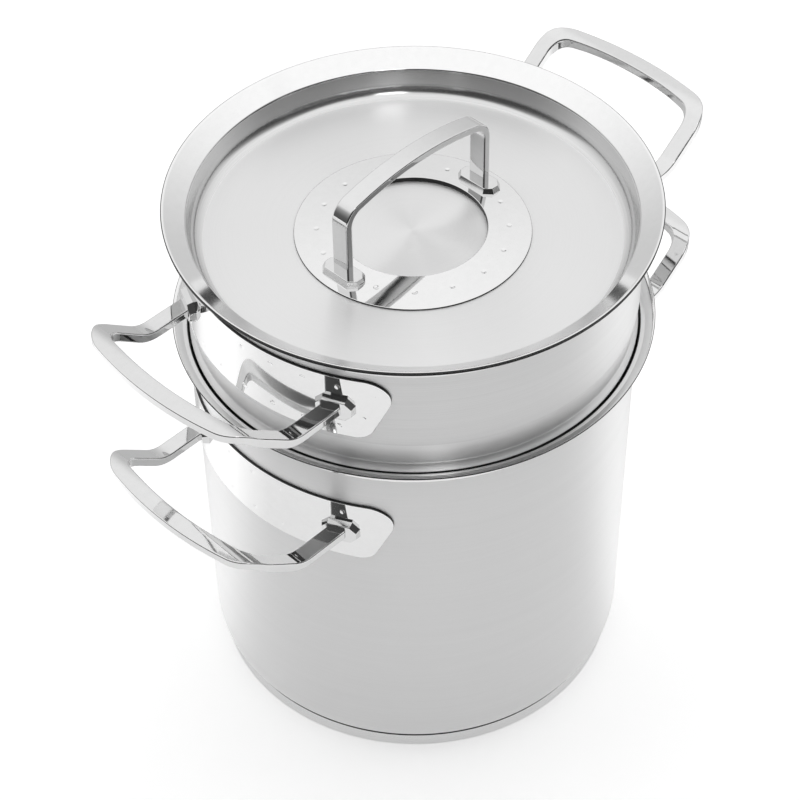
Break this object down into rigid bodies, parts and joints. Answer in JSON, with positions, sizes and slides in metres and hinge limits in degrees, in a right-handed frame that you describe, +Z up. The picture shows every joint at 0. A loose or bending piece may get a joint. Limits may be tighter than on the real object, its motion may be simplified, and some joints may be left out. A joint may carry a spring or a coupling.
{
  "type": "cooking pot",
  "caption": "Tall stainless steel cooking pot with a draining insert, a sunk lid, bent bar side handles and a bridge handle on the lid.",
  "frame": {"origin": "middle of the pot's foot, on the surface that it stands on", "axes": "+Z up along the pot's axis; the side handles and the lid's handle lie in one line along X; Y runs across them"},
  "size_m": [0.3684, 0.261, 0.345],
  "materials": {
    "satin_steel": "satin brushed stainless steel, fine grain round the axis",
    "lid_steel": "satin deck with circular grain, bright polished flange",
    "polished_steel": "mirror polished stainless steel",
    "base_steel": "bright brushed stainless steel",
    "aluminium": "plain disc, enclosed"
  },
  "bodies": {
    "root": {"pot_body": "satin_steel", "pot_base_core": "aluminium", "pot_base_cap": "base_steel", "insert_body": "satin_steel", "lid_disc": "lid_steel", "lid_ring_plate": "polished_steel", "lid_handle": "polished_steel", "pot_handle_plate_left": "polished_steel", "pot_handle_left": "polished_steel", "pot_handle_plate_right": "polished_steel", "pot_handle_right": "polished_steel", "insert_handle_plate_left": "polished_steel", "insert_handle_left": "polished_steel", "insert_handle_plate_right": "polished_steel", "insert_handle_right": "polished_steel"}
  },
  "joints": []
}
